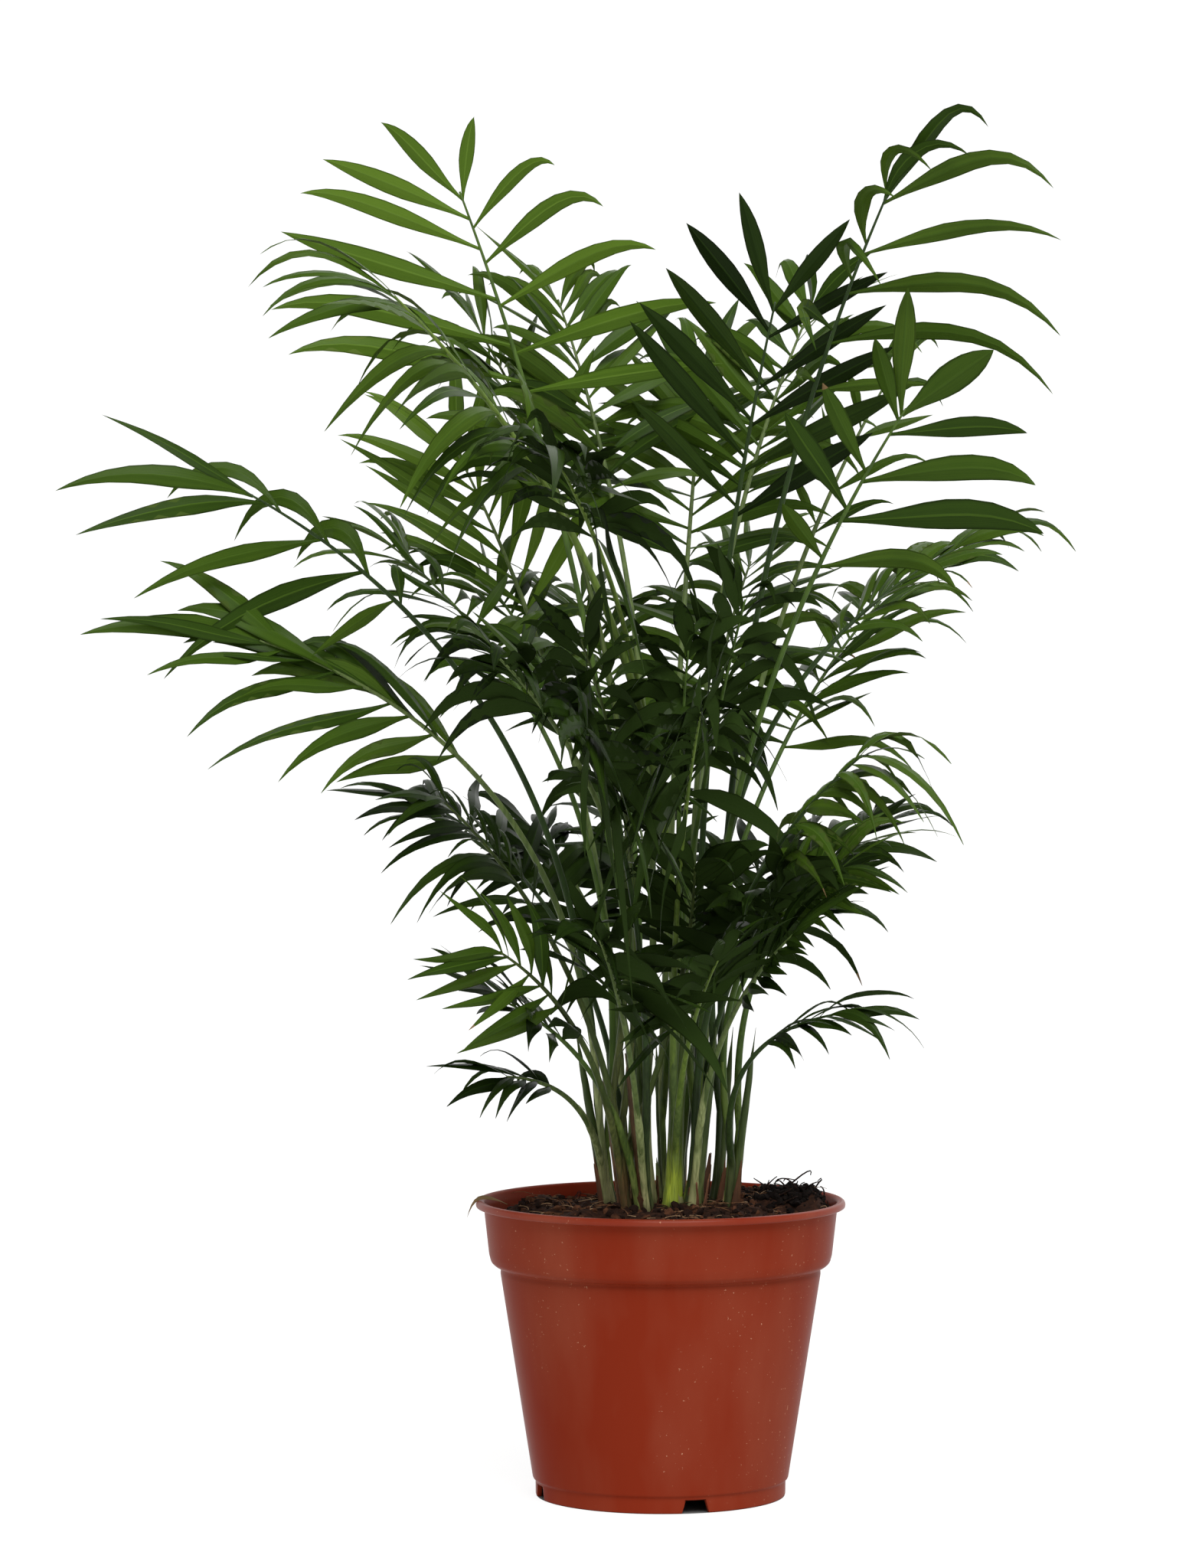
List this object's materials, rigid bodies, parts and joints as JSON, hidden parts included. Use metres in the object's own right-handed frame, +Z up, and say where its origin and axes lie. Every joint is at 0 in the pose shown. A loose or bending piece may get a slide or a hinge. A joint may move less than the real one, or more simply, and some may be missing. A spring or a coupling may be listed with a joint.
{
  "type": "potted parlour palm",
  "caption": "Potted palm for indoors: a clump of slender canes with long-stalked arching feather fronds, planted in a round tapered nursery pot that stands on any level surface.",
  "frame": {"origin": "middle of the pot's foot, on the surface that the pot stands on", "axes": "+Z up along the pot's axis, -Y towards the side the plant is shown from, +X to the right seen from there"},
  "size_m": [0.4598, 0.3777, 0.6466],
  "materials": {
    "pot": "satin moulded",
    "soil": "rough peat with fibres",
    "cane": "satin, sheathed",
    "leaf_light": "waxy leaf",
    "leaf_green": "waxy leaf",
    "leaf_dark": "waxy leaf"
  },
  "bodies": {
    "root": {"pot": "pot", "soil": "soil", "cane_back_left": "cane", "cane_back_right": "cane", "cane_left_back": "cane", "cane_left_front": "cane", "cane_left_inner": "cane", "cane_left_outer": "cane", "cane_middle": "cane", "cane_middle_back": "cane", "cane_middle_thick": "cane", "cane_right_back": "cane", "cane_right_inner": "cane", "cane_right_middle": "cane", "cane_right_outer": "cane", "cane_right_thick": "cane", "frond_arching_left": "leaf_green", "frond_back_low_1": "leaf_dark", "frond_back_low_2": "leaf_dark", "frond_back_low_3": "leaf_dark", "frond_back_low_4": "leaf_dark", "frond_back_low_5": "leaf_dark", "frond_back_middle_1": "leaf_green", "frond_back_middle_2": "leaf_green", "frond_back_middle_3": "leaf_green", "frond_back_middle_4": "leaf_green", "frond_back_middle_5": "leaf_green", "frond_back_tall_1": "leaf_green", "frond_back_tall_2": "leaf_green", "frond_back_tall_3": "leaf_green", "frond_back_tall_4": "leaf_green", "frond_behind_left": "leaf_light", "frond_behind_right": "leaf_light", "frond_crown": "leaf_dark", "frond_front_high": "leaf_dark", "frond_front_left": "leaf_dark", "frond_front_low": "leaf_dark", "frond_front_lowest": "leaf_dark", "frond_front_middle": "leaf_dark", "frond_front_right": "leaf_dark", "frond_inner_1": "leaf_dark", "frond_inner_2": "leaf_dark", "frond_inner_3": "leaf_dark", "frond_left_fan": "leaf_green", "frond_left_high": "leaf_green", "frond_left_low": "leaf_dark", "frond_left_middle": "leaf_green", "frond_left_under": "leaf_dark", "frond_lower_inner_1": "leaf_dark", "frond_lower_inner_2": "leaf_dark", "frond_lowest_left": "leaf_dark", "frond_right_arching": "leaf_green", "frond_right_fan": "leaf_light", "frond_right_low": "leaf_green", "frond_right_lower": "leaf_dark", "frond_right_lowest": "leaf_dark", "frond_right_open": "leaf_green", "frond_right_under": "leaf_dark", "frond_top_left": "leaf_light", "frond_top_right": "leaf_green"}
  },
  "joints": []
}
